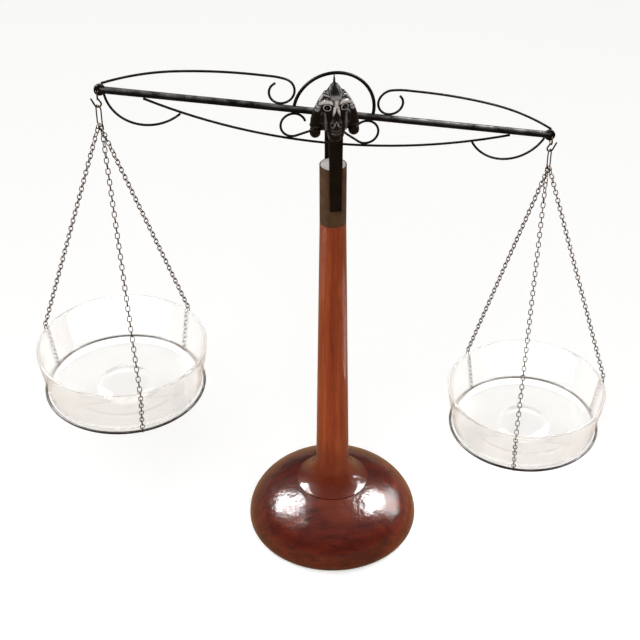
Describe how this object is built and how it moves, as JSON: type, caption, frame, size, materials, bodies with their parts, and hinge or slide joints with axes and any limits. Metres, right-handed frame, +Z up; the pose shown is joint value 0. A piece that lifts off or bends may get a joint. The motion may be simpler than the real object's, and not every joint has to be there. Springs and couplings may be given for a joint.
{
  "type": "apothecary balance scale",
  "caption": "Balance scale on a turned wooden stand: a scrolled iron beam with a cast ram's head carries glass bowls on chains.",
  "frame": {"origin": "centre of the base's underside, on the column's axis", "axes": "+Z up, +X along the beam towards its lower end, -Y towards the ram's head, which is the front"},
  "size_m": [0.5307, 0.162, 0.4958],
  "materials": {
    "base_wood": "high-gloss red-brown lacquer",
    "column_wood": "polished",
    "black_iron": "blackened, rubbed on the high spots",
    "dark_steel": "dull, darkened",
    "ferrule_metal": "dark brown patina",
    "cap_metal": "matt, pale",
    "aged_bronze": "dark antique",
    "bush_brass": "worn",
    "clear_glass": "polished, clear"
  },
  "bodies": {
    "stand": {"base": "base_wood", "base_washer": "dark_steel", "base_screw": "dark_steel", "column": "column_wood", "ferrule": "ferrule_metal", "top_cap": "cap_metal", "front_strap": "black_iron", "rear_strap": "black_iron", "strap_rivets": "black_iron", "ram_head": "black_iron", "head_rivet": "black_iron", "pointer_spike": "black_iron", "pivot_pin": "dark_steel", "pivot_nut": "dark_steel", "pivot_spacers": "bush_brass"},
    "beam": {"beam_rod": "black_iron", "pivot_bush": "bush_brass", "arch": "black_iron", "upper_wire_left": "black_iron", "upper_wire_right": "black_iron", "lower_chord": "black_iron", "lower_scroll_left": "black_iron", "lower_scroll_right": "black_iron", "end_bow_left": "black_iron", "end_bow_right": "black_iron"},
    "left_hook": {"hook_left": "aged_bronze"},
    "left_link": {"long_link_left": "aged_bronze"},
    "left_pan": {"ring_left": "dark_steel", "bowl_left": "clear_glass", "chain_left_1": "aged_bronze", "chain_left_2": "aged_bronze", "chain_left_3": "aged_bronze"},
    "right_hook": {"hook_right": "aged_bronze"},
    "right_link": {"long_link_right": "aged_bronze"},
    "right_pan": {"ring_right": "dark_steel", "bowl_right": "clear_glass", "chain_right_1": "aged_bronze", "chain_right_2": "aged_bronze", "chain_right_3": "aged_bronze"}
  },
  "joints": [
    {"name": "beam_pivot", "type": "hinge", "parent": "stand", "child": "beam", "pos_m": [0, 0, 0.446], "axis": [0, 1, 0], "range_deg": [-29.5, 6.5]},
    {"name": "left_hook_eye", "type": "hinge", "parent": "beam", "child": "left_hook", "pos_m": [-0.18849, 0, 0.48256], "axis": [0, 1, 0], "range_deg": [-6.5, 29.5]},
    {"name": "left_link_bend", "type": "hinge", "parent": "left_hook", "child": "left_link", "pos_m": [-0.18849, 0, 0.47136], "axis": [0, 1, 0], "range_deg": [-12, 12]},
    {"name": "left_pan_swing", "type": "hinge", "parent": "left_link", "child": "left_pan", "pos_m": [-0.18849, 0, 0.45166], "axis": [1, 0, 0], "range_deg": [-10, 10]},
    {"name": "right_hook_eye", "type": "hinge", "parent": "beam", "child": "right_hook", "pos_m": [0.1878, 0, 0.40601], "axis": [0, 1, 0], "range_deg": [-6.5, 29.5]},
    {"name": "right_link_bend", "type": "hinge", "parent": "right_hook", "child": "right_link", "pos_m": [0.1878, 0, 0.39481], "axis": [0, 1, 0], "range_deg": [-12, 12]},
    {"name": "right_pan_swing", "type": "hinge", "parent": "right_link", "child": "right_pan", "pos_m": [0.1878, 0, 0.37511], "axis": [1, 0, 0], "range_deg": [-10, 10]}
  ],
  "couplings": [
    {"joint": "left_hook_eye", "follows": "beam_pivot", "ratio": -1},
    {"joint": "right_hook_eye", "follows": "beam_pivot", "ratio": -1}
  ]
}
